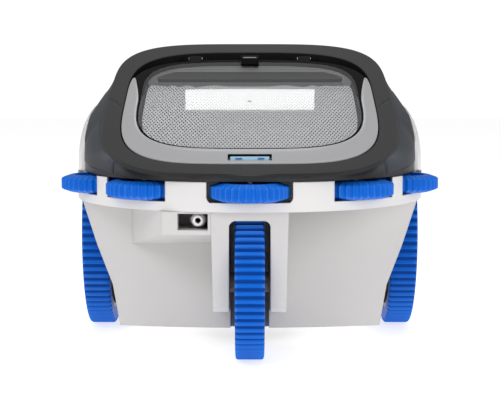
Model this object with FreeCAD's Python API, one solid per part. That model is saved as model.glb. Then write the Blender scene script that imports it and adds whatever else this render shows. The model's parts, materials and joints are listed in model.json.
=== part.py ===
import FreeCAD, Part
import os
from math import copysign, cos, pi, radians, sin, tan
from FreeCAD import Vector as V

# Water-driven pool cleaner. Millimetres. +Z up, floor at z = 0, the front faces -Y.

# ---- wheels
REAR_Y = 63.0            # rear axle line, from the middle of the machine
FRONT_Y = -129.0         # front axle line
REAR_R = 100.0           # 8 inch rear wheels
REAR_TYRE_BORE = 84.0
REAR_IN, REAR_OUT = 142.0, 168.0
REAR_FLUTES = 78
FRONT_R = 72.0
FRONT_TYRE_BORE = 58.0
FRONT_HALF_W = 13.4
FRONT_FLUTES = 60
FLUTE_DEPTH = 1.8

# ---- drive
RING_TEETH, PINION_TEETH = 50, 10
GEAR_MODULE = 1.6
TOOTH_ADD, TOOTH_DED = 1.2, 1.8
TOOTH_TIP_W, TOOTH_ROOT_W = 0.9, 1.9
SHAFT_DROP = GEAR_MODULE * (RING_TEETH - PINION_TEETH) / 2.0
SHAFT_R = 4.0
SHAFT_Z = REAR_R - SHAFT_DROP

# ---- bumper rollers
NOSE_Y = 6.0             # centre of the nose circle
ROLLER_PITCH = {"side": 166.6, "corner": 175.7, "front": 180.0}
ROLLER_R = 36.0
ROLLER_Z0, ROLLER_Z1 = 152.4, 169.0
ROLLER_RIBS = 34
ROLLER_ANGLES = {"left_side": -60.9, "left_corner": -33.2, "front": 0.0,
                 "right_corner": 33.2, "right_side": 60.9}

# ---- body
BAND_W, BAND_L, BAND_N = 173.0, 189.0, 2.15
BAND_Z0, BAND_Z1 = 143.0, 170.0
FLANGE_Z1 = 150.0
WELL_Y = -33.0           # the rear wheel wells start behind this line
TUB_W, TUB_REAR = 127.0, 165.0
TUB_Z0 = 20.0
SKIRT_H = 6.0            # soft ring around the suction mouth, under the tub
WALL = 3.0
NOSE_WALL_R = 540.0      # the front wall is part of a wide cylinder
NOSE_WALL_Y = -84.0
LEDGE_Z0, LEDGE_Z1 = 170.4, 173.4
LID_SLOPE = radians(19.5)
LID_Y0, LID_Z0 = -165.0, 185.0
CREASE_W = 141.5
ARCH_Y0 = 3.0            # the arch starts here and runs round the back
THROAT_Y, THROAT_R = -8.0, 29.0
HINGE_Y, HINGE_Z = 112.0, 279.5
HINGE_X = 59.0            # middle of each lid hinge
JET = V(-46.5, -166.0, 134.6)
FEED = V(-52.0, TUB_REAR, 104.0)
TAIL = V(60.0, TUB_REAR, 104.0)
REAR_JET = V(0.0, TUB_REAR, 62.0)
TURBINE_X0, TURBINE_X1 = 44.0, 72.0

os.makedirs("parts", exist_ok=True)


def save(shape, node):
    """Write one sub-part."""
    shape.exportStep("parts/" + node + ".step")


def box(x0, x1, y0, y1, z0, z1):
    return Part.makeBox(x1 - x0, y1 - y0, z1 - z0, V(x0, y0, z0))


def rod(r, x0, x1, y, z):
    """Round bar along X."""
    return Part.makeCylinder(r, abs(x1 - x0), V(min(x0, x1), y, z), V(1, 0, 0))


def rod_y(r, y0, y1, x, z):
    """Round bar along Y."""
    return Part.makeCylinder(r, y1 - y0, V(x, y0, z), V(0, 1, 0))


def post(r, x, y, z0, z1):
    """Round bar along Z."""
    return Part.makeCylinder(r, z1 - z0, V(x, y, z0))


def mirrored(shape):
    return shape.mirror(V(0, 0, 0), V(1, 0, 0))


def join(*shapes):
    return shapes[0].fuse(list(shapes[1:]))


def group(shapes):
    return Part.makeCompound(shapes)


def lid_z(y, rise=0.0):
    """Height of the sloped lid plane at y."""
    return LID_Z0 + tan(LID_SLOPE) * (y - LID_Y0) + rise


def plan(w, front, rear, nf, nr, height):
    """Closed rounded-rectangle outline (superellipse); height is a number or a function of y."""
    points = []
    for i in range(48):
        t = 2.0 * pi * i / 48
        n, length = (nf, front) if cos(t) > 0 else (nr, rear)
        x = w * copysign(abs(sin(t)) ** (2.0 / n), sin(t))
        y = -length * copysign(abs(cos(t)) ** (2.0 / n), cos(t))
        points.append(V(x, y, height(y) if callable(height) else height))
    curve = Part.BSplineCurve()
    curve.interpolate(Points=points, PeriodicFlag=True)
    return Part.Wire(curve.toShape())


def prism(wire, rise):
    return Part.Face(wire).extrude(V(0, 0, rise))


def sloped_slab(w, front, rear, nf, nr, low, high):
    """Slab that follows the lid plane, between two heights above it."""
    return prism(plan(w, front, rear, nf, nr, lambda y: lid_z(y, low)), high - low)


def crown(slope, y0, z0, drop):
    """Everything under the sloped top faces: a ridge-free roof with slanted shoulders."""
    pts = [(-CREASE_W, 0), (CREASE_W, 0), (CREASE_W + 60, -80), (CREASE_W + 60, -330),
           (-CREASE_W - 60, -330), (-CREASE_W - 60, -80)]
    start = -260.0
    base = [V(x, start, z0 + tan(slope) * (start - y0) + z - drop) for x, z in pts]
    face = Part.Face(Part.makePolygon(base + [base[0]]))
    return face.extrude(V(0, 560, 560 * tan(slope)))


def envelope(inset):
    """Outer body above the band, or its inner side when inset by the wall."""
    sizes = [(143, 179, 189, 196, 2.2, 5.0), (186, 179, 190, 194, 2.4, 5.0),
             (208, 175, 190, 190, 2.7, 4.6), (228, 164, 190, 186, 3.0, 4.2),
             (250, 148, 190, 180, 3.2, 3.8), (275, 134, 190, 168, 3.2, 3.4),
             (298, 113, 190, 154, 3.2, 3.0)]
    wires = [plan(w - inset, f - inset, r - inset, nf, nr, z) for z, w, f, r, nf, nr in sizes]
    return Part.makeLoft(wires, True, True)


def fluted(radius, count, depth, bore, x0, x1):
    """Tread ring about X with concave flutes between narrow ridges."""
    step = 2 * pi / count
    ridge = step * 0.12
    edges = []
    for i in range(count):
        a = i * step
        p = [V(0, radius * cos(q), radius * sin(q)) for q in (a - ridge, a + ridge)]
        nxt = a + step - ridge
        end = V(0, radius * cos(nxt), radius * sin(nxt))
        mid = V(0, (radius - depth) * cos(a + step / 2), (radius - depth) * sin(a + step / 2))
        edges.append(Part.LineSegment(p[0], p[1]).toShape())
        edges.append(Part.Arc(p[1], mid, end).toShape())
    face = Part.Face(Part.Wire(edges))
    ring = face.extrude(V(x1 - x0, 0, 0))
    ring.translate(V(x0, 0, 0))
    return ring.cut(rod(bore, x0 - 1, x1 + 1, 0, 0))


def toothed(count, pitch_r, outward, x0, x1):
    """Gear teeth about X as separate wedges, first tooth (or gap, inside) pointing down."""
    teeth = []
    for i in range(count):
        if outward:
            root, tip, turn = pitch_r - TOOTH_DED - 0.3, pitch_r + TOOTH_ADD, 0.0
        else:
            root, tip, turn = pitch_r + TOOTH_DED + 0.3, pitch_r - TOOTH_ADD, 180.0 / count
        pts = [V(x0, -TOOTH_ROOT_W / 2, -root), V(x0, TOOTH_ROOT_W / 2, -root),
               V(x0, TOOTH_TIP_W / 2, -tip), V(x0, -TOOTH_TIP_W / 2, -tip)]
        tooth = Part.Face(Part.makePolygon(pts + [pts[0]])).extrude(V(x1 - x0, 0, 0))
        tooth.rotate(V(0, 0, 0), V(1, 0, 0), 360.0 * i / count + turn)
        teeth.append(tooth)
    return teeth


def roller_centre(angle):
    a = radians(angle)
    place = "side" if abs(angle) > 45 else "corner" if angle else "front"
    pitch = ROLLER_PITCH[place]
    return pitch * sin(a), NOSE_Y - pitch * cos(a)


def at_rollers(make):
    """One shape per roller, built at its centre and turned to face outwards."""
    shapes = []
    for angle in ROLLER_ANGLES.values():
        x, y = roller_centre(angle)
        shape = make(angle)
        shape.rotate(V(0, 0, 0), V(0, 0, 1), angle)
        shape.translate(V(x, y, 0))
        shapes.append(shape)
    return shapes


# ---------------------------------------------------------------- rollers and their pins
for name, angle in ROLLER_ANGLES.items():
    x, y = roller_centre(angle)
    width = ROLLER_Z1 - ROLLER_Z0
    roller = fluted(ROLLER_R, ROLLER_RIBS, 2.2, 3.08, 0, width)
    profile = [V(0, 0, 0), V(0, ROLLER_R - 4, 0), V(4, ROLLER_R, 0), V(width - 4, ROLLER_R, 0),
               V(width, ROLLER_R - 4, 0), V(width, 0, 0)]
    turned = Part.Face(Part.makePolygon(profile + [profile[0]])).revolve(V(0, 0, 0), V(1, 0, 0), 360)
    dish = rod(24, 0, 4, 0, 0).cut(rod(9.5, -1, 5, 0, 0))
    roller = roller.common(turned).cut([dish, dish.translated(V(width - 4, 0, 0))])
    roller.rotate(V(0, 0, 0), V(0, 1, 0), -90)
    roller.rotate(V(0, 0, 0), V(0, 0, 1), angle)
    roller.translate(V(x, y, ROLLER_Z0))
    save(roller, "roller_" + name)

pins = at_rollers(lambda angle: post(3.0, 0, 0, 147.2, 173.2))
save(group(pins), "roller_pins")

# ---------------------------------------------------------------- bumper band
outer = prism(plan(BAND_W, BAND_L, BAND_L, BAND_N, BAND_N, BAND_Z0), BAND_Z1 - BAND_Z0)
inner = prism(plan(BAND_W - WALL, BAND_L - WALL, BAND_L - WALL, BAND_N, BAND_N, BAND_Z0), 60)
hole = prism(plan(124, 132, 132, 2.6, 2.6, BAND_Z0 - 5), 60)
flange = outer.cut(hole).cut(box(-200, 200, -200, 200, FLANGE_Z1, 200))
end_wall = outer.cut(hole).common(box(-200, 200, WELL_Y - WALL, WELL_Y, BAND_Z0, BAND_Z1))
band = join(outer.cut(inner), flange, end_wall)
band = band.common(box(-200, 200, -200, WELL_Y, 100, 200))


def window(angle):
    """Opening for one roller: room for the roller itself and a slot with rounded lower corners."""
    half = 34.0 if angle else 38.5
    corners = [rod_y(5, -30, 0, sx * (half - 5), 156.6) for sx in (-1, 1)]
    slot = join(box(-half, half, -30, 0, 156.6, 175), box(5 - half, half - 5, -30, 0, 151.6, 175), *corners)
    return join(slot, post(38, 0, 0, 151.6, 175))


windows = at_rollers(window)
bosses = at_rollers(lambda angle: post(6, 0, 0, FLANGE_Z1 - 0.5, 152.0))
holes = at_rollers(lambda angle: post(3.0, 0, 0, 147.2, 190))
band = join(band.cut(windows), *bosses).cut(holes)
wheel_room = rod(FRONT_R + 3.4, -18.6, 18.6, FRONT_Y, FRONT_R)
band = band.cut(wheel_room)
save(band, "bumper_band")

# ---------------------------------------------------------------- lower shell
half = [(127, TUB_Z0), (134, 60), (149, 98), (163, 140), (163, BAND_Z0)]
pts = [V(x, -100, z) for x, z in half] + [V(-x, -100, z) for x, z in reversed(half)]
panel = Part.Face(Part.makePolygon(pts + [pts[0]])).extrude(V(0, 60, 0))
nose_outer = Part.makeCylinder(NOSE_WALL_R, 200, V(0, NOSE_WALL_Y + NOSE_WALL_R, 0))
nose_inner = Part.makeCylinder(NOSE_WALL_R - 3.5, 200, V(0, NOSE_WALL_Y + NOSE_WALL_R, 0))
front_wall = panel.common(nose_outer).cut(nose_inner)
sides = box(-TUB_W, TUB_W, -66, TUB_REAR, TUB_Z0, BAND_Z0)
sides = sides.cut(box(-TUB_W + WALL, TUB_W - WALL, -80, TUB_REAR - WALL, 0, 200))
tub_edge = box(-124, 124, -70, -58.1, TUB_Z0, 26).common(nose_outer).cut(box(-40, 40, -100, 0, 0, 200))
liner = rod(FRONT_R + 6.4, -21.6, 21.6, FRONT_Y, FRONT_R)
liner = liner.common(box(-30, 30, NOSE_WALL_Y, 0, TUB_Z0, BAND_Z0)).common(nose_outer)
screw_spots = [(sx * 119, y) for sx in (-1, 1) for y in (-52, 50, 152)]
towers = [post(6.5, x, y, TUB_Z0 + 4.05, 44) for x, y in screw_spots]
tower_holes = [post(2.0, x, y, 0, 40) for x, y in screw_spots]
shell = join(front_wall, sides, tub_edge, liner, *towers)
shell = shell.cut([wheel_room] + tower_holes)
shell = shell.cut(rod(8.0, -200, 200, REAR_Y, SHAFT_Z)).cut(rod(6.0, -200, 200, REAR_Y, REAR_R))
for spot, r in ((FEED, 13.0), (TAIL, 13.0), (REAR_JET, 12.0)):
    shell = shell.cut(rod_y(r, 150, 180, spot.x, spot.z))
shell = shell.cut(rod_y(4.0, -100, -60, JET.x, JET.z))
save(shell, "lower_shell")

# ---------------------------------------------------------------- base plate, skirt, screws
base = box(-123.9, 123.9, -58, TUB_REAR - WALL - 0.1, TUB_Z0, TUB_Z0 + 4)
base = base.cut(box(-22, 22, -100, -44, 0, 60)).cut(post(THROAT_R + 3, 0, THROAT_Y, 0, 60))
base = base.cut([post(2.2, x, y, 0, 60) for x, y in screw_spots])
save(base, "base_plate")
skirt = Part.makeCone(48, 44, SKIRT_H, V(0, THROAT_Y + 8, TUB_Z0 - SKIRT_H)).cut(
    Part.makeCone(44.5, 40.5, SKIRT_H, V(0, THROAT_Y + 8, TUB_Z0 - SKIRT_H)))
save(skirt, "intake_skirt")
screws = [join(post(4.5, x, y, TUB_Z0 - 2.4, TUB_Z0), post(1.98, x, y, TUB_Z0 - 1, 38)) for x, y in screw_spots]
save(group(screws), "base_screws")

# ---------------------------------------------------------------- front fork, wheel and axle
profile = [V(-35, -182, BAND_Z0), V(35, -182, BAND_Z0), V(33, -182, 52), V(-33, -182, 52)]
legs = Part.Face(Part.makePolygon(profile + [profile[0]])).extrude(V(0, 110, 0))
side = [V(-50, -182, BAND_Z0), V(-50, -182, 57), V(-50, -176, 52), V(-50, -60, 36), V(-50, -60, BAND_Z0)]
legs = legs.fuse(box(-33, 33, -182, -60, 30, 60))
legs = legs.common(Part.Face(Part.makePolygon(side + [side[0]])).extrude(V(100, 0, 0)))
slot = box(-18.6, 18.6, -200, -40, 0, 129).fuse([rod_y(6, -200, -40, sx * 12.6, 129) for sx in (-1, 1)])
slot = slot.fuse(box(-12.6, 12.6, -200, -40, 100, 135))
fork = legs.cut([slot, wheel_room, nose_outer]).removeSplitter()
fork = fork.cut(rod(4.0, -60, 60, FRONT_Y, FRONT_R))
for sx in (-1, 1):
    fork = fork.cut(rod(9.0, sx * 30.5, sx * 40, FRONT_Y, FRONT_R))
save(fork, "front_fork")
save(join(rod(3.98, -32.5, 33.5, FRONT_Y, FRONT_R), rod(7, 30.6, 33.5, FRONT_Y, FRONT_R)), "front_axle")
bushes = [rod(9.5, sx * 13.8, sx * 18.5, FRONT_Y, FRONT_R).cut(rod(4.0, -20, 20, FRONT_Y, FRONT_R))
          for sx in (-1, 1)]
save(group(bushes), "front_bushes")
tyre = fluted(FRONT_R, FRONT_FLUTES, FLUTE_DEPTH, FRONT_TYRE_BORE, -FRONT_HALF_W, FRONT_HALF_W)
tyre.translate(V(0, FRONT_Y, FRONT_R))
save(tyre, "front_tyre")
hub = join(rod(57.9, -12.5, 12.5, 0, 0).cut([rod(53, -20, -2.5, 0, 0), rod(53, 2.5, 20, 0, 0)]),
           rod(12, -13.4, 13.4, 0, 0))
hub = hub.cut(rod(4.06, -20, 20, 0, 0))
hub.translate(V(0, FRONT_Y, FRONT_R))
save(hub, "front_hub")

# ---------------------------------------------------------------- rear wheels, axles and drive
tyre = fluted(REAR_R, REAR_FLUTES, FLUTE_DEPTH, REAR_TYRE_BORE, REAR_IN, REAR_OUT)
ring_out = GEAR_MODULE * RING_TEETH / 2 + TOOTH_DED + 4
ring = rod(ring_out, 142.4, 153, 0, 0).cut(rod(ring_out - 4, 140, 150.5, 0, 0))
ring = join(ring, *toothed(RING_TEETH, GEAR_MODULE * RING_TEETH / 2, False, 142.4, 150.6))
hub = join(rod(83.9, 143, 167, 0, 0).cut([rod(79.5, 140, 151.5, 0, 0), rod(79.5, 156.5, 170, 0, 0)]),
           rod(14, 140.2, 164.6, 0, 0))
hub = hub.cut(rod(ring_out + 0.02, 140, 153.0, 0, 0)).fuse(rod(14, 140.2, 164.6, 0, 0)).removeSplitter()
hub = hub.cut(rod(6.06, 130, 170, 0, 0))
ring = ring.cut(rod(14.02, 130, 170, 0, 0))
axle = join(rod(5.98, 114, 165, 0, 0), rod(14, TUB_W + 0.05, 132, 0, 0), rod(9, 131, 139.6, 0, 0),
            rod(9, 114, TUB_W - WALL - 0.05, 0, 0))
washer = join(rod(10, 165.05, 167.2, 0, 0), rod(5, 167, 169, 0, 0))
for shape in (tyre, ring, hub, axle, washer):
    shape.translate(V(0, REAR_Y, REAR_R))
save(group([washer, mirrored(washer)]), "wheel_retainers")
save(group([axle, mirrored(axle)]), "rear_axles")
for node, shape in (("rear_tyre_", tyre), ("rear_ring_gear_", ring), ("rear_hub_", hub)):
    save(shape, node + "right")
    save(mirrored(shape), node + "left")

shaft = rod(SHAFT_R, -149.4, 149.4, REAR_Y, SHAFT_Z)
save(shaft, "drive_shaft")
pitch_r = GEAR_MODULE * PINION_TEETH / 2
pinion = join(rod(pitch_r - TOOTH_DED, 142.8, 149.4, 0, 0),
              *toothed(PINION_TEETH, pitch_r, True, 142.8, 149.4)).cut(rod(SHAFT_R, 140, 150, 0, 0))
pinion.translate(V(0, REAR_Y, SHAFT_Z))
save(group([pinion, mirrored(pinion)]), "drive_pinions")
bushes = [rod(7.95, sx * 118, sx * 132, REAR_Y, SHAFT_Z).cut(rod(SHAFT_R + 0.06, -150, 150, REAR_Y, SHAFT_Z))
          for sx in (-1, 1)]
save(group(bushes), "shaft_bearings")

# ---------------------------------------------------------------- water turbine
wheel = rod(9, TURBINE_X0 + 4, TURBINE_X1 - 4, 0, 0)
blade = box(TURBINE_X0 + 4, TURBINE_X1 - 4, 7, 26, -1, 1)
blade.rotate(V(0, 8, 0), V(1, 0, 0), 20)
blades = []
for i in range(10):
    vane = blade.copy()
    vane.rotate(V(0, 0, 0), V(1, 0, 0), 36.0 * i)
    blades.append(vane)
wheel = join(wheel, *blades).cut(rod(SHAFT_R, 0, 100, 0, 0))
housing = rod(32, TURBINE_X0, TURBINE_X1 - 2.5, 0, 0).cut(rod(29, TURBINE_X0 + 2.5, 100, 0, 0))
housing = join(housing, box(TURBINE_X0, TURBINE_X1 - 2.5, -20, 20, -SHAFT_Z + TUB_Z0 + 4.05, -29.5))
housing = housing.cut([rod(SHAFT_R + 0.5, 0, 100, 0, 0), rod_y(7, 20, 40, 58, -16)])
cover = rod(32, TURBINE_X1 - 2.5, TURBINE_X1, 0, 0)
housing = join(housing, cover).cut(rod(SHAFT_R + 0.5, 0, 100, 0, 0))
for shape, node in ((wheel, "turbine_wheel"), (housing, "turbine_housing")):
    shape.translate(V(0, REAR_Y, SHAFT_Z))
    save(shape, node)

# ---------------------------------------------------------------- suction throat and inner deck
throat = post(THROAT_R + 3, 0, THROAT_Y, TUB_Z0, 149.0).cut(post(THROAT_R, 0, THROAT_Y, 0, 200))
save(throat, "suction_throat")
venturi = post(THROAT_R + 9, 0, THROAT_Y, 40, 52).cut(post(THROAT_R + 3.05, 0, THROAT_Y, 0, 200))
venturi = join(venturi, rod_y(5, THROAT_Y + THROAT_R + 6, THROAT_Y + THROAT_R + 26, 0, 46))
deck = prism(plan(122, 130, 130, 2.6, 2.6, 144.0), 5.0).common(box(-130, 130, -200, 0, 100, 200))
deck = deck.fuse(box(-134.2, 134.2, WELL_Y + 5, 158, 144, 149))
deck = deck.cut([post(THROAT_R + 3.05, 0, THROAT_Y, 100, 200), wheel_room])
save(deck.removeSplitter(), "inner_deck")

# ---------------------------------------------------------------- debris canister
CAN_FLOOR = 149.05
CAN_TOP = -8.5


def canister(inset):
    low = plan(90 - inset, 104 - inset, 72 - inset, 3.2, 3.2, CAN_FLOOR)
    high = plan(110 - inset, 131 - inset, 92 - inset, 3.8, 3.2, lambda y: lid_z(y, CAN_TOP))
    return Part.makeLoft([low, high], True, True)


mouth = post(THROAT_R, 0, THROAT_Y, 100, 250)
body = canister(1.9)
frame = body.cut(canister(4.2).cut(box(-200, 200, -200, 200, 0, CAN_FLOOR + 3)))
gaps = [box(x0, x1, -200, 200, CAN_FLOOR + 12, 400) for x0, x1 in ((-86, -46), (-42, -2), (2, 42), (46, 86))]
gaps += [box(-200, 200, y0, y1, CAN_FLOOR + 12, 400) for y0, y1 in ((-84, -44), (-40, 8), (12, 56))]
below_rim = sloped_slab(300, 300, 300, 8, 8, -120, CAN_TOP - 6)
frame = frame.cut([gap.common(below_rim) for gap in gaps]).cut(mouth)
ears = [box(sx * 15 - 1.5, sx * 15 + 1.5, 21, 30, 151.5, 160) for sx in (-1, 1)]
frame = join(frame, *ears).cut(rod(1.5, -30, 30, 26, 157))
save(frame, "canister_frame")
mesh = canister(1.0).cut(canister(1.8)).common(below_rim)
save(mesh.cut(box(-200, 200, -200, 200, 0, CAN_FLOOR + 4)), "canister_mesh")
flap = post(THROAT_R + 2, 0, THROAT_Y, 152.5, 154.5)
flap = join(flap, box(-12, 12, 10, 26, 153, 156.5), rod(3.4, -12, 12, 26, 157)).cut(rod(1.56, -20, 20, 26, 157))
save(flap, "intake_flap")
save(rod(1.48, -16.5, 16.5, 26, 157), "flap_pin")

# ---------------------------------------------------------------- upper covers
# One hollow upper body is split into the white rear shell, the dark cover and the carry arch.
roof = crown(LID_SLOPE, LID_Y0, LID_Z0, 0.0)
upper = envelope(0.0).common(roof).cut(box(-250, 250, -250, 250, 100, BAND_Z0))
lid_seat = sloped_slab(129, 170, 126, 4.2, 3.2, -17.5, 60)
grip_block = box(-53, 53, 118, 230, 258.5, 330)
cavity = envelope(WALL + 0.5).common(crown(LID_SLOPE, LID_Y0, LID_Z0, WALL + 0.5))
cavity = cavity.cut([lid_seat, grip_block, box(-250, 250, -250, WELL_Y, 100, LEDGE_Z1)])
curb = sloped_slab(129, 169, 108, 4.2, 3.2, -20, 80)
openings = [sloped_slab(113, 134, 95, 3.8, 3.2, -60, 60),
            sloped_slab(126, 166, 105, 4.2, 3.2, -7.6, 60),
            sloped_slab(125.5, 170, 122, 4.2, 3.2, -14, 60).cut(curb).common(box(-200, 200, 40, 200, 0, 400)),
            box(-50, 50, 121, 230, 262, 280),
            prism(plan(124, 132, 132, 2.6, 2.6, 140), 45).common(box(-200, 200, -200, WELL_Y, 0, LEDGE_Z1 + 0.5)),
            box(-21, 21, -161.5, -145.5, 160, 200)]
openings += [box(sx * HINGE_X - 12, sx * HINGE_X + 12, 100, 116.5, 268, 300) for sx in (-1, 1)]
shell = upper.cut([cavity] + openings)
# the white rear shell wraps the wheels up to a seam that climbs backwards
seam = [V(-300, WELL_Y, 0), V(-300, 400, 0), V(-300, 400, 262), V(-300, 118, 262), V(-300, 90, 236),
        V(-300, -10, 222), V(-300, WELL_Y, 196)]
rear_zone = Part.Face(Part.makePolygon(seam + [seam[0]])).extrude(V(600, 0, 0))
well = rod(REAR_R + 8, 134.3, 176, REAR_Y, REAR_R).cut(rod(REAR_R + 4.5, 137, 200, REAR_Y, REAR_R))
well = well.common(box(130, 190, WELL_Y, 164, BAND_Z0, 260)).common(upper)
wheel_gap = rod(REAR_R + 4.5, 137, 172, REAR_Y, REAR_R)
rear = join(shell.common(rear_zone), well, mirrored(well)).cut([wheel_gap, mirrored(wheel_gap)])
save(max(rear.Solids, key=lambda s: s.Volume), "rear_shell")

arch_zone = sloped_slab(220, 220, 220, 8, 8, -12, 40).common(box(-220, 220, ARCH_Y0, 220, 0, 400))
arch_zone = arch_zone.cut(sloped_slab(125.5, 170, 122, 4.2, 3.2, -60, 90))
arch = upper.common(arch_zone).cut(openings[3])
save(max(arch.Solids, key=lambda s: s.Volume), "carry_arch")

# side panels are set into the dark cover, both sides
panel = [V(100, -118, 176), V(100, ARCH_Y0 - 1, 213), V(100, ARCH_Y0 - 1, 232), V(100, -100, 200),
         V(100, -128, 188)]
panel_zone = Part.Face(Part.makePolygon(panel + [panel[0]])).extrude(V(100, 0, 0))
skin = upper.cut(envelope(1.5).common(crown(LID_SLOPE, LID_Y0, LID_Z0, 1.5)))
side_panel = max(skin.common(panel_zone).cut(rear_zone).Solids, key=lambda s: s.Volume)
dark = shell.cut([rear_zone, arch_zone, box(-250, 250, -250, 250, 100, LEDGE_Z0)])
dark = dark.cut([side_panel, mirrored(side_panel)])
dark = dark.cut(at_rollers(lambda angle: post(3.0, 0, 0, 147, 174)))
save(max(dark.Solids, key=lambda s: s.Volume), "top_cover")
save(group([side_panel, mirrored(side_panel)]), "side_panels")

bracket = box(HINGE_X - 11.8, HINGE_X + 11.8, 107.6, 118, 260, HINGE_Z + 3.6)
bracket = bracket.cut(box(HINGE_X - 7.4, HINGE_X + 7.4, 100, 120, 272.6, 300))
bracket = bracket.common(sloped_slab(125.2, 170, 121.6, 4.2, 3.2, -13.95, 20))
bracket = bracket.cut(rod(2.5, 40, 90, HINGE_Y, HINGE_Z))
save(group([bracket, mirrored(bracket)]), "hinge_brackets")
pins = [rod(2.48, sx * HINGE_X - 11.8, sx * HINGE_X + 11.8, HINGE_Y, HINGE_Z) for sx in (-1, 1)]
save(group(pins), "lid_hinge_pins")

# ---------------------------------------------------------------- lid
ring = sloped_slab(125, 165, 104, 4.2, 3.2, -5, 0).cut(sloped_slab(110, 131, 93, 3.8, 3.2, -9, 9))
lip = sloped_slab(112, 133, 95, 3.8, 3.2, -5, -3.2).cut(sloped_slab(107, 128, 90, 3.8, 3.2, -9, 9))
arm = box(HINGE_X - 7, HINGE_X + 7, 92, HINGE_Y, 200, 300).common(sloped_slab(300, 300, 300, 8, 8, -5, -0.5))
lug = join(rod(4, HINGE_X - 7, HINGE_X + 7, HINGE_Y, HINGE_Z), arm)
lugs = [lug, mirrored(lug)]
lens_room = sloped_slab(109.95, 130.95, 92.95, 3.8, 3.2, -3.15, 20)
lid = join(ring, lip, *lugs).cut([rod(2.56, -90, 90, HINGE_Y, HINGE_Z), lens_room])
latch_hole = box(-18, 18, -158, -149, 150, 220)
lid = lid.cut(latch_hole)
save(lid, "lid_frame")
save(sloped_slab(109.9, 130.9, 92.9, 3.8, 3.2, -3.1, -0.5), "lid_lens")
gasket = sloped_slab(121, 161, 100, 4.2, 3.2, -7.2, -5.02).cut(sloped_slab(116, 144, 97.5, 3.8, 3.2, -9, 9))
gasket = gasket.cut(box(-21, 21, -170, -140, 150, 220))
save(gasket, "lid_gasket")
button = join(box(-17.6, 17.6, -157.6, -149.4, lid_z(-153.5, -6.4), lid_z(-153.5, 1.6)))
tongue = box(-19.8, 19.8, -159.5, -147.5, lid_z(-153.5, -9.2), lid_z(-153.5, -7.6))
tongue = tongue.fuse(box(-17.6, 17.6, -157.6, -149.4, lid_z(-153.5, -9), lid_z(-153.5, -6)))
save(join(button, tongue), "latch_button")

# ---------------------------------------------------------------- front thrust jet
cheek = [V(-34.5, -182, 0), V(-79, -177, 0), V(-118, -60, 0), V(-34.5, -60, 0)]
cheek_body = Part.Face(Part.makePolygon(cheek + [cheek[0]])).extrude(V(0, 0, 200))
side = [V(-130, -182, BAND_Z0), V(-130, -182, 122.5), V(-130, -60, 98), V(-130, -60, BAND_Z0)]
jet_box = Part.Face(Part.makePolygon(side + [side[0]])).extrude(V(110, 0, 0)).common(cheek_body)
jet_box = jet_box.cut([nose_outer, box(-64.5, -37.5, -190, -130, 126.5, 141.2)])
jet_box = jet_box.cut(rod_y(4, -140, -60, JET.x, JET.z))
jet_box = jet_box.cut(box(-60, -20, -190, -60, 60, 150).common(legs))
save(jet_box.removeSplitter(), "jet_housing")
ball = Part.makeSphere(6.6, JET).fuse(rod_y(4.6, JET.y - 9, JET.y, JET.x, JET.z))
ball = ball.cut(rod_y(2.6, JET.y - 20, JET.y + 20, JET.x, JET.z)).removeSplitter()
save(ball, "thrust_jet_ball")
hexagon = [V(JET.x + 8.2 * cos(radians(60 * i)), JET.y + 1.0, JET.z + 7.9 * sin(radians(60 * i)))
           for i in range(6)]
socket = Part.Face(Part.makePolygon(hexagon + [hexagon[0]])).extrude(V(0, 34.9, 0))
socket = socket.common(box(-70, -20, -200, -60, JET.z - 6.5, JET.z + 6.5))
socket = socket.cut([Part.makeSphere(6.95, JET), rod_y(3.2, JET.y, JET.y + 60, JET.x, JET.z)])
save(socket, "thrust_jet_socket")

# ---------------------------------------------------------------- water inlet, tail and rear jet
stub = join(rod_y(12.9, 150, 168, 0, 0), rod_y(18, 165.05, 169, 0, 0)).cut(rod_y(8.0, 140, 220, 0, 0))
collar = rod_y(13.0, 171, 209.9, 0, 0).cut(rod_y(8.5, 160, 220, 0, 0))
collar = join(collar, rod_y(15.5, 173, 178, 0, 0)).cut(rod_y(8.5, 160, 220, 0, 0))
sleeve = rod_y(8.1, 150, 185, 0, 0).cut(rod_y(6.4, 140, 220, 0, 0))
sleeve_lip = rod_y(8.4, 171, 185, 0, 0).cut(rod_y(6.4, 140, 220, 0, 0))
for shape, node in ((join(stub, sleeve, sleeve_lip), "feed_inlet"), (collar, "inlet_swivel")):
    shape.translate(V(FEED.x, 0, FEED.z))
    save(shape, node)
tail = join(rod_y(12.9, 150, 168, 0, 0), rod_y(18, 165.05, 169, 0, 0), rod_y(9, 160, 200, 0, 0))
tail = tail.cut(rod_y(5.5, 140, 220, 0, 0))
tail.translate(V(TAIL.x, 0, TAIL.z))
save(tail, "tail_barb")
cup = join(rod_y(11.9, 150, 166, 0, 0), rod_y(17, 165.05, 171, 0, 0))
cup = cup.cut([Part.makeSphere(9.3, V(0, 173, 0)), rod_y(4.5, 140, 220, 0, 0)])
nozzle = Part.makeSphere(9.0, V(0, 173, 0)).fuse(Part.makeCone(8, 6, 16, V(0, 176, 0), V(0, 1, 0)))
nozzle = nozzle.cut(rod_y(3.5, 140, 220, 0, 0)).removeSplitter()
for shape, node in ((cup, "rear_jet_socket"), (nozzle, "rear_jet_nozzle")):
    shape.translate(V(REAR_JET.x, 0, REAR_JET.z))
    save(shape, node)

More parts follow.
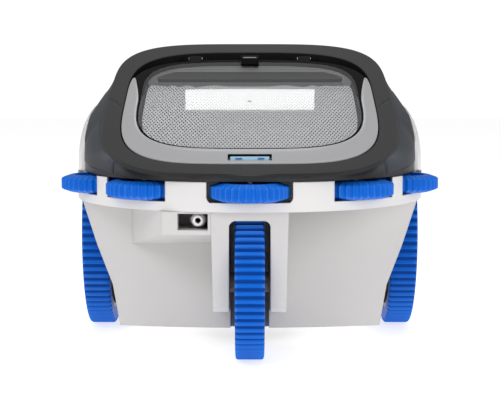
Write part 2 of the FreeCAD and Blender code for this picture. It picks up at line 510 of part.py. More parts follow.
# ---------------------------------------------------------------- manifold, pipes, float, ballast
manifold = box(-70, 24, 120, 149, 84, 124).cut(box(-67, 21, 123, 160, 87, 121))
manifold = join(manifold, box(-70, 24, 147, 150, 84, 124)).cut(rod_y(13, 146, 152, FEED.x, FEED.z))
save(manifold, "water_manifold")
pipe = join(rod_y(5, 46, 97, 0, 46), post(5, 0, 97, 41, 95), rod_y(5, 97, 119.9, 0, 90))
pipe = pipe.cut([rod_y(3.5, 46, 97, 0, 46), post(3.5, 0, 97, 43, 92), rod_y(3.5, 97, 130, 0, 90)])
save(join(venturi, pipe), "venturi_ring")
save(rod_y(3.95, -129.9, -72, JET.x, JET.z).cut(rod_y(2.6, -140, 0, JET.x, JET.z)), "front_jet_pipe")
block = box(-100, 100, 124, 158, 152, 222)
save(block, "float_block")
save(group([box(-90, -30, -58, -48, 24, 60), box(30, 90, -58, -48, 24, 60)]), "ballast")
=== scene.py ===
import json
import math

import bmesh
import bpy
import numpy as np
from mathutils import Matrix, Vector


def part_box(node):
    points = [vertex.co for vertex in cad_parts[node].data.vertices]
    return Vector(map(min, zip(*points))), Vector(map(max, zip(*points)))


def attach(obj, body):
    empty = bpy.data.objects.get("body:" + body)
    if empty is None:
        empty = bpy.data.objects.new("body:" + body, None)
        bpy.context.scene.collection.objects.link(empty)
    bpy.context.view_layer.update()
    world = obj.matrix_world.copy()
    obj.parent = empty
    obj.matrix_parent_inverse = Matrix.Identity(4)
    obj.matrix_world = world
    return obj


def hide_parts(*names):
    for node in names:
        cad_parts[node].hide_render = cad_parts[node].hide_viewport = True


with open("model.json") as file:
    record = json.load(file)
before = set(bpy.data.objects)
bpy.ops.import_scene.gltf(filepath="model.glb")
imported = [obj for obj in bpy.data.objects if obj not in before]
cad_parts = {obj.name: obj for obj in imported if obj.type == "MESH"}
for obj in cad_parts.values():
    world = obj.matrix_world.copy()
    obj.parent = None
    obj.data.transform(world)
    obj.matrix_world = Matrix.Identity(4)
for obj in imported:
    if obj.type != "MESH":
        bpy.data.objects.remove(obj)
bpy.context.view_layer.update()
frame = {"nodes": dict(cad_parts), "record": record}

MM = 0.001

# the lid plane slopes up to the rear from this line, in millimetres
LID_Y, LID_Z = -165.0, 185.0
LID_TAN = math.tan(math.radians(19.5))


# ------------------------------------------------------------------ camera, light, floor
def look_at(obj, target):
    obj.rotation_euler = (Vector(target) - obj.location).to_track_quat("-Z", "Y").to_euler()


scene = bpy.context.scene
cam_data = bpy.data.cameras.new("camera")
cam_data.lens = 99.86
cam_data.sensor_width = 36.0
cam_data.clip_end = 50.0
camera = bpy.data.objects.new("camera", cam_data)
scene.collection.objects.link(camera)
camera.location = (0.0002, -1.4102, 0.2722)
look_at(camera, (0.0002, 0.063, 0.1303))
scene.camera = camera


def area(name, place, target, size, power, diffuse=True):
    """Rectangular lamp that the camera doesn't see."""
    data = bpy.data.lights.new(name, "AREA")
    data.shape = "RECTANGLE"
    data.size, data.size_y = size
    data.energy = power
    lamp = bpy.data.objects.new(name, data)
    scene.collection.objects.link(lamp)
    lamp.location = place
    look_at(lamp, target)
    lamp.visible_camera = False
    lamp.visible_diffuse = diffuse
    return lamp


area("key", (-1.3, -1.7, 1.5), (0, -0.05, 0.12), (1.2, 1.0), 17)
area("fill", (1.5, -1.6, 0.9), (0, -0.05, 0.12), (1.2, 1.0), 12)
area("top", (0, -0.3, 2.2), (0, 0, 0.15), (2.0, 1.4), 16)
area("lens_bar", (0, 1.132, 1.213), (0, -0.011, 0.241), (0.275, 0.0435), 0.16, diffuse=False)

# the backdrop is white to the eye; what the object mirrors is a softer grey room
world = bpy.data.worlds.new("studio")
scene.world = world
world.use_nodes = True
room = world.node_tree
room_light = room.nodes["Background"]
room_light.inputs["Color"].default_value = (1, 1, 1, 1)
room_light.inputs["Strength"].default_value = 0.42
backdrop = room.nodes.new("ShaderNodeBackground")
backdrop.inputs["Strength"].default_value = 1.05
eye = room.nodes.new("ShaderNodeLightPath")
either = room.nodes.new("ShaderNodeMixShader")
room.links.new(eye.outputs["Is Camera Ray"], either.inputs[0])
room.links.new(room_light.outputs[0], either.inputs[1])
room.links.new(backdrop.outputs[0], either.inputs[2])
backdrop.inputs["Color"].default_value = (1, 1, 1, 1)
room.links.new(either.outputs[0], room.nodes["World Output"].inputs["Surface"])
scene.view_settings.view_transform = "Standard"


# ------------------------------------------------------------------ materials
ROUGH_DRIFT = 0.08


def shader(name, color, rough, bump=0.05, scale=900.0, vary=0.06, edge=0.0, coat=0.0, metal=0.0, spec=0.5):
    """Principled material with procedural colour drift, roughness drift and a fine grain."""
    mat = bpy.data.materials.new(name)
    mat.use_nodes = True
    tree = mat.node_tree
    bsdf = tree.nodes["Principled BSDF"]
    bsdf.inputs["Metallic"].default_value = metal
    bsdf.inputs["IOR"].default_value = 1.5
    bsdf.inputs["Coat Weight"].default_value = coat
    bsdf.inputs["Coat Roughness"].default_value = 0.12
    bsdf.inputs["Specular IOR Level"].default_value = spec
    coords = tree.nodes.new("ShaderNodeTexCoord")
    cloud = tree.nodes.new("ShaderNodeTexNoise")
    cloud.inputs["Scale"].default_value = 14.0
    cloud.inputs["Detail"].default_value = 4.0
    tree.links.new(coords.outputs["Object"], cloud.inputs["Vector"])
    ramp = tree.nodes.new("ShaderNodeMapRange")
    ramp.inputs["To Min"].default_value = 1.0 - vary
    ramp.inputs["To Max"].default_value = 1.0 + vary
    tree.links.new(cloud.outputs["Fac"], ramp.inputs["Value"])
    tint = tree.nodes.new("ShaderNodeVectorMath")
    tint.operation = "SCALE"
    tint.inputs[0].default_value = color[:3]
    tree.links.new(ramp.outputs["Result"], tint.inputs["Scale"])
    tree.links.new(tint.outputs["Vector"], bsdf.inputs["Base Color"])
    grain = tree.nodes.new("ShaderNodeTexNoise")
    grain.inputs["Scale"].default_value = scale
    grain.inputs["Detail"].default_value = 3.0
    tree.links.new(coords.outputs["Object"], grain.inputs["Vector"])
    rmap = tree.nodes.new("ShaderNodeMapRange")
    rmap.inputs["To Min"].default_value = max(0.02, rough - ROUGH_DRIFT)
    rmap.inputs["To Max"].default_value = rough + ROUGH_DRIFT
    tree.links.new(grain.outputs["Fac"], rmap.inputs["Value"])
    tree.links.new(rmap.outputs["Result"], bsdf.inputs["Roughness"])
    lift = tree.nodes.new("ShaderNodeBump")
    lift.inputs["Strength"].default_value = bump
    lift.inputs["Distance"].default_value = 0.0004
    tree.links.new(grain.outputs["Fac"], lift.inputs["Height"])
    if edge > 0:
        soft = tree.nodes.new("ShaderNodeBevel")
        soft.samples = 4
        soft.inputs["Radius"].default_value = edge
        tree.links.new(soft.outputs["Normal"], lift.inputs["Normal"])
    tree.links.new(lift.outputs["Normal"], bsdf.inputs["Normal"])
    return mat


# painted light on the blue rubber: a lighter copy paints a highlight on the rib crests, a darker copy paints
# shade in the flute valleys
BLUE_PAINTED_HIGHLIGHT = shader("blue_crest_painted_highlight", (0.006, 0.155, 0.66), 0.40, 0.10, 1400, 0.05, spec=0.3)
BLUE_PAINTED_SHADE = shader("blue_valley_painted_shade", (0.001, 0.050, 0.28), 0.5, 0.10, 1400, 0.05, spec=0.1)
BLUE = shader("blue_rubber", (0.002, 0.125, 0.60), 0.45, 0.10, 1400, 0.05, edge=0.0002, spec=0.15)
WHITE = shader("white_shell", (0.71, 0.695, 0.69), 0.34, 0.03, 1100, 0.012, edge=0.0016)
LIGHT = shader("light_shell", (0.59, 0.575, 0.57), 0.40, 0.04, 1100, 0.02, edge=0.0016, spec=0.35)
DARK = shader("dark_cover", (0.036, 0.036, 0.037), 0.42, 0.05, 1300, 0.05, edge=0.001, spec=0.12)
PANEL = shader("side_panel", (0.046, 0.051, 0.058), 0.5, 0.05, 1300, 0.05, spec=0.1)
RING = shader("lid_grey", (0.36, 0.36, 0.37), 0.22, 0.02, 900, 0.02, coat=0.25, spec=0.3)
BLACK = shader("black_plastic", (0.006, 0.006, 0.006), 0.6, 0.06, 900, 0.1, spec=0.05)
GREY = shader("grey_plastic", (0.24, 0.24, 0.25), 0.45, 0.06, 900, 0.04, edge=0.0006)
NOZZLE = shader("nozzle_white", (0.82, 0.82, 0.82), 0.25, 0.02, 900, 0.02, edge=0.0006)
STEEL = shader("steel", (0.60, 0.60, 0.62), 0.30, 0.08, 1600, 0.04, metal=1.0, edge=0.0003)
TAN = shader("bush_tan", (0.40, 0.36, 0.31), 0.5, 0.06, 900, 0.06, edge=0.0004)
SEAL = shader("seal_rubber", (0.015, 0.015, 0.016), 0.6, 0.1, 1200, 0.1, spec=0.1)
FOAM = shader("foam", (0.72, 0.71, 0.66), 0.85, 0.4, 500, 0.05)
LABEL = shader("label_blue", (0.36, 0.62, 0.84), 0.30, 0.02, 900, 0.02)
MARK = shader("label_mark", (0.01, 0.10, 0.30), 0.35, 0.02, 900, 0.02)
SLOT_LOOK = {"blue_rubber": BLUE, "white_shell": WHITE, "light_shell": LIGHT, "dark_cover": DARK,
             "side_panel": PANEL, "lid_grey": RING, "black_plastic": BLACK, "grey_plastic": GREY,
             "nozzle_white": NOZZLE, "steel": STEEL, "bush_tan": TAN, "seal_rubber": SEAL, "foam": FOAM,
             "label_blue": LABEL}

# every CAD node takes its look from the record's slot
for part in frame["record"]["subparts"]:
    node = frame["nodes"].get(part["node"])
    look = SLOT_LOOK.get(part["material_slot"])
    if node and look:
        if not node.data.materials:
            node.data.materials.append(look)
        for i in range(len(node.material_slots)):
            node.material_slots[i].material = look
for name, look in (("hinge_brackets", BLACK), ("latch_button", LABEL)):
    for slot in frame["nodes"][name].material_slots:
        slot.material = look


def mixed_glass(name):
    """Clear thin sheet: see-through, with a mirror gloss that grows at shallow angles."""
    mat = bpy.data.materials.new(name)
    mat.use_nodes = True
    tree = mat.node_tree
    tree.nodes.remove(tree.nodes["Principled BSDF"])
    clear = tree.nodes.new("ShaderNodeBsdfTransparent")
    clear.inputs["Color"].default_value = (0.97, 0.98, 0.98, 1)
    gloss = tree.nodes.new("ShaderNodeBsdfGlossy")
    gloss.inputs["Color"].default_value = (1, 1, 1, 1)
    coords = tree.nodes.new("ShaderNodeTexCoord")
    smear = tree.nodes.new("ShaderNodeTexNoise")
    smear.inputs["Scale"].default_value = 30.0
    tree.links.new(coords.outputs["Object"], smear.inputs["Vector"])
    rmap = tree.nodes.new("ShaderNodeMapRange")
    rmap.inputs["To Min"].default_value = 0.008
    rmap.inputs["To Max"].default_value = 0.03
    tree.links.new(smear.outputs["Fac"], rmap.inputs["Value"])
    tree.links.new(rmap.outputs["Result"], gloss.inputs["Roughness"])
    fres = tree.nodes.new("ShaderNodeFresnel")
    fres.inputs["IOR"].default_value = 1.35
    mix = tree.nodes.new("ShaderNodeMixShader")
    tree.links.new(fres.outputs["Fac"], mix.inputs[0])
    tree.links.new(clear.outputs[0], mix.inputs[1])
    tree.links.new(gloss.outputs[0], mix.inputs[2])
    tree.links.new(mix.outputs[0], tree.nodes["Material Output"].inputs["Surface"])
    return mat


def woven_mesh(name, pitch, color, cover, across=((1, 0.42, 0), (-1, 0.42, 0))):
    """Fine woven screen: two crossed sets of wires with see-through holes between them."""
    mat = shader(name, color, 0.5, 0.1, 1500, 0.08)
    tree = mat.node_tree
    coords = tree.nodes.new("ShaderNodeTexCoord")
    waves = []
    for axis in across:
        scaled = tree.nodes.new("ShaderNodeVectorMath")
        scaled.operation = "DOT_PRODUCT"
        scaled.inputs[1].default_value = Vector(axis) * 2 * math.pi / pitch
        tree.links.new(coords.outputs["Object"], scaled.inputs[0])
        wave = tree.nodes.new("ShaderNodeMath")
        wave.operation = "SINE"
        tree.links.new(scaled.outputs["Value"], wave.inputs[0])
        waves.append(wave)
    high = tree.nodes.new("ShaderNodeMath")
    high.operation = "MAXIMUM"
    tree.links.new(waves[0].outputs[0], high.inputs[0])
    tree.links.new(waves[1].outputs[0], high.inputs[1])
    step = tree.nodes.new("ShaderNodeMath")
    step.operation = "GREATER_THAN"
    step.inputs[1].default_value = cover
    tree.links.new(high.outputs[0], step.inputs[0])
    tree.links.new(step.outputs[0], tree.nodes["Principled BSDF"].inputs["Alpha"])
    return mat


LENS = mixed_glass("lens_clear")
MESH = woven_mesh("mesh_grey", 3.6 * MM, (0.70, 0.70, 0.71), 0.0)
MESH_WALL = woven_mesh("mesh_wall", 2.3 * MM, (0.42, 0.42, 0.43), -0.2, ((1, 0, 0), (0, 0, 1)))
# darker copy of the screen mesh: painted shade for the screen past the shelf step, in the shade of the bar
SHADE = woven_mesh("mesh_shaded", 2.3 * MM, (0.20, 0.20, 0.21), 0.0)
RIM = shader("canister_rim", (0.045, 0.045, 0.047), 0.45, 0.05, 900, 0.05, spec=0.2)


# ------------------------------------------------------------------ curves and skins (millimetres)
LOOP = 220
SAMPLES = 1500


def oval(half_width, front, rear, front_power, rear_power, count=LOOP):
    """Rounded-rectangle outline, evenly spaced by length; starts at the front centre, goes right."""
    t = np.linspace(0, math.pi, SAMPLES)
    ahead = np.cos(t) > 0
    n = np.where(ahead, front_power, rear_power)
    length = np.where(ahead, front, rear)
    x = half_width * np.abs(np.sin(t)) ** (2 / n)
    y = -length * np.sign(np.cos(t)) * np.abs(np.cos(t)) ** (2 / n)
    run = np.concatenate([[0], np.cumsum(np.hypot(np.diff(x), np.diff(y)))])
    want = np.linspace(0, run[-1], count // 2 + 1)
    half = np.stack([np.interp(want, run, x), np.interp(want, run, y)], 1)
    back = half[1:-1][::-1] * [-1, 1]
    return np.vstack([half, back])


def lid_height(y):
    return LID_Z + LID_TAN * (y - LID_Y)


def at_lid(xy, rise=0.0):
    """Puts plan points on the sloped lid plane, or this far above it."""
    return np.column_stack([xy, lid_height(xy[:, 1]) + rise])


def level(xy, z):
    """Puts plan points at one height."""
    return np.column_stack([xy, np.full(len(xy), float(z))])


def solid(name, verts, faces, looks, body, replaces=(), chosen=None, thick=0.0, sharp=35.0, slot=None,
          planes=(), keep=None):
    """Mesh object from points in millimetres; planes cut it and keep(centre) says which faces stay."""
    mesh = bpy.data.meshes.new(name)
    mesh.from_pydata([tuple(v) for v in np.asarray(verts) * MM], [], faces)
    for look in looks:
        mesh.materials.append(look)
    if chosen:
        mesh.polygons.foreach_set("material_index", chosen)
    if planes:
        form = bmesh.new()
        form.from_mesh(mesh)
        for point, normal in planes:
            everything = form.verts[:] + form.edges[:] + form.faces[:]
            bmesh.ops.bisect_plane(form, geom=everything, plane_co=Vector(point) * MM, plane_no=normal,
                                   dist=1e-7)
        out = [f for f in form.faces if not keep(f.calc_center_median() / MM)]
        bmesh.ops.delete(form, geom=out, context="FACES")
        form.to_mesh(mesh)
        form.free()
    mesh.update()
    mesh.polygons.foreach_set("use_smooth", [True] * len(mesh.polygons))
    mesh.set_sharp_from_angle(angle=math.radians(sharp))
    obj = bpy.data.objects.new(name, mesh)
    scene.collection.objects.link(obj)
    if thick:
        shell = obj.modifiers.new("wall", "SOLIDIFY")
        shell.thickness = thick * MM
        shell.offset = -1
    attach(obj, body)
    if replaces:
        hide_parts(*replaces)
    return obj


def skin(name, rows, looks, body, replaces=(), closed=True, pick=None, **how):
    """Mesh over rows of points; pick(row, centre) chooses each face's look."""
    rows = [np.asarray(r, float) for r in rows]
    count = len(rows[0])
    verts = np.vstack(rows)
    faces, chosen = [], []
    for i in range(len(rows) - 1):
        for j in range(count if closed else count - 1):
            k = (j + 1) % count
            quad = (i * count + j, i * count + k, (i + 1) * count + k, (i + 1) * count + j)
            faces.append(quad)
            chosen.append(pick(i, verts[list(quad)].mean(0)) if pick else 0)
    return solid(name, verts, faces, looks, body, replaces, chosen, **how)


# ------------------------------------------------------------------ dark cover and carry arch
DARK_Z = [165, 199, 213, 226, 241, 253, 262, 270, 285, 300]
DARK_W = [165, 165, 162.5, 160, 155, 149.5, 146, 142.5, 131, 113]
WHITE_Z = [140, 186, 199, 210, 219, 227, 236, 254]
WHITE_W = [179, 178.6, 176.6, 174, 170, 165, 158, 151]
COVER_HALF = 165.0
EASE = 7
# above this height the rear of the cover leans forward, by this share of its length
LEAN_Z, LEAN_RISE, LEAN_SHARE = 216, 82, 0.17


def eased(z, zs, vs):
    """Table lookup with the corners eased over a few millimetres."""
    return np.mean([np.interp(z + d, zs, vs) for d in np.linspace(-EASE, EASE, 9)], axis=0)


crease = at_lid(oval(142, 190, 153, 4.0, 4.0), -0.5)
hoop = at_lid(oval(125.4, 165.4, 125, 4.2, 3.5))
cover_plan = oval(COVER_HALF, 189.6, 186, 2.3, 4.5)
cover_foot = np.interp(cover_plan[:, 1], [-36, -33, -12, 190], [170.6, 194, 218.7, 246.5])


def dark_row(k, proud=0.0):
    """A row of the dark side wall, from its foot (k 0) to the crease (k 1)."""
    z = cover_foot + k * (crease[:, 2] - cover_foot)
    wide = (eased(z, DARK_Z, DARK_W) + proud) / COVER_HALF
    lean = 1 - LEAN_SHARE * np.clip((z - LEAN_Z) / LEAN_RISE, 0, 1) ** 2
    deep = np.where(cover_plan[:, 1] > 0, lean, 1.0)
    pull = 0.85 * k ** 4 + 0.15 * k ** 16
    x = cover_plan[:, 0] * wide * (1 - pull) + crease[:, 0] * pull
    y = cover_plan[:, 1] * deep * (1 - pull) + crease[:, 1] * pull
    return np.column_stack([x, y, z])


WALL_STEPS = (0, 0.02, 0.1, 0.2, 0.3, 0.4, 0.5, 0.6, 0.7, 0.78, 0.85, 0.91, 0.95, 0.98, 1)
wall_rows = [dark_row(k) for k in WALL_STEPS]
bezel_rows = [crease * (1 - u) + hoop * u for u in (0.03, 0.1, 0.35, 0.65, 0.9, 0.97)]
recess_rows = [hoop + [0, 0, -0.6], hoop * [0.998, 0.998, 1] + [0, 0, -2.0],
               hoop * [0.995, 0.995, 1] + [0, 0, -14.0], at_lid(oval(113, 134, 97, 3.8, 3.4), -14.0)]
cover_rows = wall_rows + bezel_rows + recess_rows
# rows from here on lie inside the lid opening and take the black look as painted shade
first_black = len(wall_rows) + len(bezel_rows)

# the arch parts from the cover on a slant at each side, and along a line below the crease
PART_X, PART_Y = 141.0, -9.0
PART_RUN = Vector((17.0, 27.0, 0)).normalized()
ARCH_SKIRT, ARCH_MARGIN, ARCH_FRONT = -13.0, 3.0, -60.0
GAP = 0.3
COVER_WALL = 2.4


def parting(shift):
    """Cutting planes of the parting line, moved to one side of it."""
    right = Vector((PART_RUN.y, -PART_RUN.x, 0))
    planes = [((s * PART_X, PART_Y + shift, 0), (s * right.x, right.y, 0)) for s in (-1, 1)]
    return planes + [((0, LID_Y, LID_Z + ARCH_SKIRT + shift), (0, -LID_TAN, 1))]


def in_arch(c):
    """Says whether a face centre belongs to the arch."""
    ahead = (c[1] - PART_Y) * PART_RUN.x - (abs(c[0]) - PART_X) * PART_RUN.y
    return ahead > 0 and c[2] > lid_height(c[1]) + ARCH_SKIRT - ARCH_MARGIN and c[1] > ARCH_FRONT


def opening_painted_shade(i, c):
    """Painted shade: the inner wall and ledge of the lid opening take the black look, darker than the dark
    cover, for the shade inside the opening.
    """
    return 1 if i >= first_black else 0


# the carry grip is a pocket through the rear wall, under the arch
GRIP_X, GRIP_Y, GRIP_Z0, GRIP_Z1 = 50.0, 122.0, 262.5, 280.0
GRIP_CUTS = [((GRIP_X, 0, 0), (1, 0, 0)), ((-GRIP_X, 0, 0), (1, 0, 0)), ((0, 0, GRIP_Z0), (0, 0, 1)),
             ((0, 0, GRIP_Z1), (0, 0, 1))]


def in_grip(c):
    return abs(c[0]) < GRIP_X and c[1] > GRIP_Y and GRIP_Z0 < c[2] < GRIP_Z1


skin("cover_dark", cover_rows, [DARK, BLACK], "chassis", ("top_cover",), pick=opening_painted_shade, thick=COVER_WALL,
     slot="dark_cover", planes=parting(-GAP) + GRIP_CUTS, keep=lambda c: not in_arch(c) and not in_grip(c))
grip_rows = []
for y, lean, inset in ((174.5, 9.5, 0.0), (150.0, 0, 0.3), (GRIP_Y + 4, 0, 0.6), (GRIP_Y + 1, 0, 2.0),
                       (GRIP_Y, 0, 5.0), (GRIP_Y, 0, 8.6)):
    x, low, high = GRIP_X + 0.5 - inset, GRIP_Z0 - 0.5 + inset, GRIP_Z1 + 0.5 - inset
    grip_rows.append([(-x, y, low), (-x, y - lean, high), (x, y - lean, high), (x, y, low)])
skin("grip_pocket", grip_rows, [BLACK], "chassis", slot="black_plastic")
skin("arch_dark", cover_rows, [DARK, BLACK], "chassis", ("carry_arch",), pick=opening_painted_shade, thick=COVER_WALL,
     slot="dark_cover", planes=parting(GAP), keep=in_arch)

# plain side panels, proud of the cover by less than a millimetre
PANEL_Y0, PANEL_Y1, PANEL_PROUD = -138, 58, 0.7
panel_rows = [dark_row(k, PANEL_PROUD) for k in np.linspace(0.2, 0.985, 16)]
for side, sign in (("right", 1), ("left", -1)):
    columns = [j for j in range(LOOP)
               if PANEL_Y0 < cover_plan[j, 1] < PANEL_Y1 and cover_plan[j, 0] * sign > 0]
    skin("side_panel_" + side, [r[columns] for r in panel_rows], [PANEL], "chassis", ("side_panels",),
         closed=False, thick=1.0, slot="side_panel")

# ------------------------------------------------------------------ white rear shell
SEAM_Y = -32.0
SHELL_WALL = 2.6
# the sides draw in towards the front from this line
DRAW_Y, DRAW_RUN, DRAW_SHARE = 50, 95, 0.075
SEAM_CUTS = [((0, -32, 197), (0, -1.1, 1)), ((0, -10, 222), (0, -0.14, 1))]


def under_seam(c):
    """Says whether a face centre is below both seam planes."""
    return all((c[1] - at[1]) * slope[1] + (c[2] - at[2]) < 0 for at, slope in SEAM_CUTS)


white_rows = []
for z in (143.2, 145, 160, 175, 186, 195, 203, 210, 216, 222, 228, 233, 237, 241, 246, 252):
    plan = oval(float(eased(z, WHITE_Z, WHITE_W)), 190, 196 - 0.10 * max(0, z - 186), 2.4, 5.0, 400)
    right = plan[(plan[:, 1] > SEAM_Y) & (plan[:, 0] >= 0)]
    right[:, 0] *= 1 - DRAW_SHARE * np.clip((DRAW_Y - right[:, 1]) / DRAW_RUN, 0, 1) ** 1.6
    run = np.vstack([right, right[::-1][1:] * [-1, 1]])
    length = np.concatenate([[0], np.cumsum(np.hypot(*np.diff(run, axis=0).T))])
    want = np.linspace(0, length[-1], 161)
    run = np.stack([np.interp(want, length, run[:, 0]), np.interp(want, length, run[:, 1])], 1)
    lead = np.array([run[0] + step for step in ((-16, -1.5), (-6, -2.2), (-2, -1.6), (-0.5, -0.6))])
    white_rows.append(level(np.vstack([lead, run, lead[::-1] * [-1, 1]]), z))
skin("shell_white", white_rows, [WHITE], "chassis", ("rear_shell",), closed=False, thick=SHELL_WALL,
     slot="white_shell", planes=SEAM_CUTS, keep=under_seam)

# ------------------------------------------------------------------ lid
ring_out = oval(124.7, 164.7, 103.5, 4.2, 3.3)
ring_in = oval(110.8, 131.8, 93.6, 3.8, 3.8)
base_rows = [at_lid(ring_out, -5.0), at_lid(ring_out, -1.6), at_lid(ring_out * 0.998, -0.9)]
base_rows += [at_lid(ring_out * (1 - u) + ring_in * u, -0.7) for u in (0.05, 0.3, 0.6, 0.9)]
base_rows += [at_lid(ring_in, -0.8), at_lid(ring_in * 0.995, -4.0)]
# the latch button moves in a cut-out through the frame and its trim
latch_low, latch_high = (np.array(v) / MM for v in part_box("latch_button"))
LATCH_GAP = 0.25
latch_x = latch_high[0] + LATCH_GAP
latch_y0, latch_y1 = latch_low[1] - LATCH_GAP, latch_high[1] + LATCH_GAP
LATCH_CUTS = [((latch_x, 0, 0), (1, 0, 0)), ((-latch_x, 0, 0), (1, 0, 0)), ((0, latch_y0, 0), (0, 1, 0)),
              ((0, latch_y1, 0), (0, 1, 0))]


def clear_of_latch(c):
    return abs(c[0]) > latch_x or not latch_y0 < c[1] < latch_y1


skin("lid_base", base_rows, [BLACK], "lid", ("lid_frame",), thick=1.6, slot="black_plastic",
     planes=LATCH_CUTS, keep=clear_of_latch)

# the grey trim runs round the front and ends in a rounded tip on each side
TIP_Y, TAPER_Y = 47.0, -26.0
arc = [j for j in range(LOOP) if ring_out[j, 1] < TIP_Y]
arc = [j for j in arc if j > LOOP // 2] + [j for j in arc if j <= LOOP // 2]
near, far = ring_out[arc], ring_in[arc]
taper = np.clip((near[:, 1] - TAPER_Y) / (TIP_Y - TAPER_Y), 0, 0.999)
shrink = (0.3 * taper + 0.7 * (1 - np.sqrt(1 - taper ** 2)))[:, None]
inner_edge = far * (1 - shrink) + near * shrink
inner_edge += (near - inner_edge) * 0.075
outer_edge = near + (inner_edge - near) * 0.02
trim_rows = []
for u, rise in ((0.0, -0.8), (0.0, 0.2), (0.03, 0.6), (0.12, 0.9), (0.4, 1.2), (0.7, 1.4), (0.9, 1.4),
                (0.98, 1.1), (1.0, 0.5), (1.0, -0.8)):
    trim_rows.append(at_lid(outer_edge * (1 - u) + inner_edge * u, rise))
skin("lid_trim", trim_rows, [RING], "lid", ("lid_frame",), closed=False, slot="lid_grey",
     planes=LATCH_CUTS, keep=clear_of_latch)

# rings that shrink towards the middle of the opening, which lies this far ahead of the origin
RING_MIDDLE = 19
lens_edge = oval(110.0, 131.0, 92.8, 3.8, 3.8)
lens_rows = []
for u in (1.0, 0.995, 0.985, 0.95, 0.85, 0.7, 0.5, 0.3, 0.12, 0.02):
    plan = lens_edge * u
    plan[:, 1] -= RING_MIDDLE * (1 - u)
    lens_rows.append(at_lid(plan, 0.2 + 0.5 * (1 - u ** 6)))
lens_rows.insert(0, at_lid(lens_edge, -2.4))
skin("lens_sheet", lens_rows, [LENS, BLACK], "lid", ("lid_lens",), pick=lambda i, c: 1 if i < 1 else 0,
     slot="lens_clear")

# ------------------------------------------------------------------ debris canister seen through the lens
can_edge = oval(108.5, 129.5, 91.5, 3.8, 3.8)
SHELF_Y, BAR_Y0, BAR_Y1 = 46.0, 65.0, 84.0
# the bar's half length follows the canister's rounded rear corners
BAR_HALF, CORNER_Y, CORNER_RUN, CORNER_POWER = 104, 40, 66, 3.2


def screen_height(y):
    """Height of the screen from the lid plane: it steps down at the shelf."""
    return -7.0 - 4.0 * np.clip((y - SHELF_Y) / 3.0, 0, 1)


screen_rows = [at_lid(can_edge, -3.4), at_lid(can_edge * 0.995, -6.0)]
for u in (0.98, 0.94, 0.88, 0.8, 0.7, 0.6, 0.5, 0.4, 0.3, 0.2, 0.1, 0.01):
    plan = can_edge * u
    plan[:, 1] -= RING_MIDDLE * (1 - u)
    screen_rows.append(at_lid(plan, screen_height(plan[:, 1])))


def screen_look(i, c):
    return 1 if i < 2 else 0


SHELF_CUT = [((0, SHELF_Y, 0), (0, 1, 0))]
skin("canister_screen", screen_rows, [MESH, RIM], "chassis", ("canister_mesh",), pick=screen_look,
     slot="mesh_grey", planes=SHELF_CUT, keep=lambda c: c[1] < SHELF_Y)
# past the shelf step the screen takes the darker mesh as painted shade
skin("canister_shelf", screen_rows, [SHADE, MESH_WALL], "chassis", ("canister_mesh",), pick=screen_look,
     slot="mesh_grey", planes=SHELF_CUT, keep=lambda c: c[1] > SHELF_Y)
bar_rows = []
for y, rise in ((BAR_Y0, -12.0), (BAR_Y0, -7.6), (BAR_Y0 + 1, -6.6), (BAR_Y1 - 1, -6.6), (BAR_Y1, -7.6),
                (BAR_Y1, -12.0)):
    reach = BAR_HALF * (1 - (max(y - CORNER_Y, 0) / CORNER_RUN) ** CORNER_POWER) ** (1 / CORNER_POWER)
    bar_rows.append(at_lid(np.column_stack([np.linspace(-reach, reach, 40), np.full(40, y)]), rise))
skin("canister_bar", bar_rows, [RIM], "chassis", ("canister_frame",), closed=False, slot="black_plastic")


# ------------------------------------------------------------------ ribbed tyres and rollers
def ribbed(name, node, body, centre, axis, profile, radius, ribs, depth, root, crest, valley):
    """Ring turned from a closed profile of (radius, along the axis); concave flutes between thin ridges.

    Flutes fade out towards the root radius. Crest and valley are steps from a ridge, where each look ends
    or begins: faces near a ridge take the lighter blue as a painted highlight, faces deep in a flute the
    darker blue as painted shade.
    """
    per_rib = 10
    steps = ribs * per_rib
    angle = np.arange(steps) * 2 * math.pi / steps
    phase = (np.arange(steps) % per_rib) / per_rib
    dip = np.sin(math.pi * phase)
    rows = []
    for r, along in profile:
        reach = min(max((r - root) / (radius - root), 0), 1)
        spread = r - depth * dip * reach ** 1.5
        a, b = spread * np.cos(angle), spread * np.sin(angle)
        c = np.full(steps, along)
        rows.append(np.stack([c, a, b] if axis == "X" else [a, b, c], 1) + centre)
    verts = np.vstack(rows)
    faces, chosen = [], []
    total = len(profile)
    for i in range(total):
        n = (i + 1) % total
        outside = min(profile[i][0], profile[n][0]) > root + 1
        for j in range(steps):
            k = (j + 1) % steps
            faces.append((i * steps + j, i * steps + k, n * steps + k, n * steps + j))
            from_crest = min(j % per_rib, per_rib - 1 - j % per_rib)
            # painted highlight on the ridge faces, painted shade in the flute valleys, plain blue between
            chosen.append(0 if not outside else 1 if from_crest < crest else 2 if from_crest >= valley else 0)
    return solid(name, verts, faces, [BLUE, BLUE_PAINTED_HIGHLIGHT, BLUE_PAINTED_SHADE], body, (node,), chosen=chosen,
                 slot="blue_rubber", sharp=50)


def tyre_profile(bore, radius, half):
    """Closed section of a tyre: one side, out to the tread and back down the other side."""
    side = [(bore + 0.1, -half + 0.6), (bore + 1.5, -half), (radius - 3.5, -half),
            (radius - 1.4, -half + 0.4), (radius - 0.4, -half + 1.2), (radius, -half + 2.2),
            (radius, -half / 2)]
    return side + [(radius, 0.0)] + [(r, -along) for r, along in side[::-1]]


def middle(node):
    """Centre and size of a CAD node, in millimetres."""
    low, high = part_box(node)
    return np.array((low + high) / 2) / MM, np.array(high - low) / MM


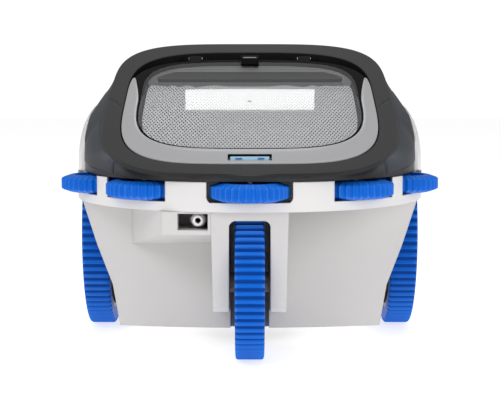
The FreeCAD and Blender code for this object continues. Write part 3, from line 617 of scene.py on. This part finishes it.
TYRE_FLUTE, TYRE_ROOT = 3.6, 5.5
TYRES = (("front_tyre", "front_wheel", 58.0, 60), ("rear_tyre_left", "rear_wheel_left", 84.0, 78),
         ("rear_tyre_right", "rear_wheel_right", 84.0, 78))
for node, body, bore, ribs in TYRES:
    spot, size = middle(node)
    radius = size[1] / 2
    ribbed(node + "_tread", node, body, spot, "X", tyre_profile(bore, radius, size[0] / 2), radius,
           ribs, TYRE_FLUTE, radius - TYRE_ROOT, 2, 3)

ROLLER = [(3.2, -7.6), (9.5, -7.6), (9.6, -4.5), (21.5, -4.5), (23.0, -8.2), (26.5, -8.3), (28.5, -7.8),
          (33.6, -6.0), (35.4, -5.2), (36.0, -4.4), (36.0, 0.0), (36.0, 4.4), (35.4, 5.2), (33.6, 6.0),
          (28.5, 7.8), (26.5, 8.3), (23.0, 8.2), (21.5, 4.5), (9.6, 4.5), (9.5, 7.6), (3.2, 7.6)]
ROLLER_RADIUS, ROLLER_ROOT, ROLLER_RIBS, ROLLER_FLUTE = 36.0, 24.0, 34, 2.6
for place in ("left_side", "left_corner", "front", "right_corner", "right_side"):
    node = "roller_" + place
    spot, size = middle(node)
    ribbed(node + "_rubber", node, "spin_" + place, spot, "Z", ROLLER, ROLLER_RADIUS, ROLLER_RIBS,
           ROLLER_FLUTE, ROLLER_ROOT, 1, 5)

# ------------------------------------------------------------------ small parts
def prism(name, outline, low, high, axis, look, body, bevel=0.6, replaces=(), slot=None):
    """Straight piece with a drawn outline: axis X takes (Y, Z) points, axis L lies on the lid plane."""
    outline = np.asarray(outline, float)
    ends = []
    for along in (low, high):
        if axis == "X":
            ends.append(np.column_stack([np.full(len(outline), along), outline]))
        else:
            ends.append(at_lid(outline, along))
    n = len(outline)
    faces = [tuple(range(n))[::-1], tuple(range(n, 2 * n))]
    faces += [(j, (j + 1) % n, n + (j + 1) % n, n + j) for j in range(n)]
    piece = solid(name, np.vstack(ends), faces, [look], body, replaces, slot=slot)
    round_off = piece.modifiers.new("round", "BEVEL")
    round_off.width = bevel * MM
    round_off.segments = 2
    return piece


HINGE_Y, HINGE_Z, HINGE_X = 112.0, 279.5, 59.0
turn_round = np.radians(np.linspace(105, -75, 13))
LUG_HALF = 6.8
lug = [(92.0, 271.0), (92.0, 275.6)]
lug += [(HINGE_Y + 4 * math.cos(a), HINGE_Z + 4 * math.sin(a)) for a in turn_round]
for side, sign in (("left", -1), ("right", 1)):
    prism("lid_lug_" + side, lug, sign * HINGE_X - LUG_HALF, sign * HINGE_X + LUG_HALF, "X", BLACK, "lid",
          slot="black_plastic")


def block(x0, x1, y0, y1):
    """Rectangle as four plan points."""
    return [(x0, y0), (x1, y0), (x1, y1), (x0, y1)]


prism("lid_rear_tab", block(-9.5, 9.5, 88, 99), -0.7, 6.0, "L", BLACK, "lid", slot="black_plastic")
# the grey strip on top of the tab marks the tab's slot; its grey is a painted highlight along the slot
prism("lid_tab_slot_highlight", block(-7, 7, 90, 92), 5.2, 6.3, "L", GREY, "lid", 0.2, slot="grey_plastic")
for mark, (x0, x1) in (("left", (-13, -7)), ("right", (7, 13))):
    prism("latch_mark_" + mark, block(x0, x1, -159.0, -156.0), 1.6, 2.2, "L", MARK, "latch", 0.1,
          slot="label_blue")


# ------------------------------------------------------------------ floor
floor_mesh = bpy.data.meshes.new("floor")
FLOOR = 6
floor_mesh.from_pydata([(-FLOOR, -FLOOR, 0), (FLOOR, -FLOOR, 0), (FLOOR, FLOOR, 0), (-FLOOR, FLOOR, 0)], [],
                       [(0, 1, 2, 3)])
floor = bpy.data.objects.new("floor", floor_mesh)
scene.collection.objects.link(floor)
floor.location.z = -0.0005
floor_look = shader("floor", (0.7, 0.7, 0.7), 0.9, 0.0, 300, 0.004, spec=0.0)
glow = floor_look.node_tree.nodes["Principled BSDF"]
glow.inputs["Emission Color"].default_value = (1, 1, 1, 1)
glow.inputs["Emission Strength"].default_value = 0.68
floor_mesh.materials.append(floor_look)
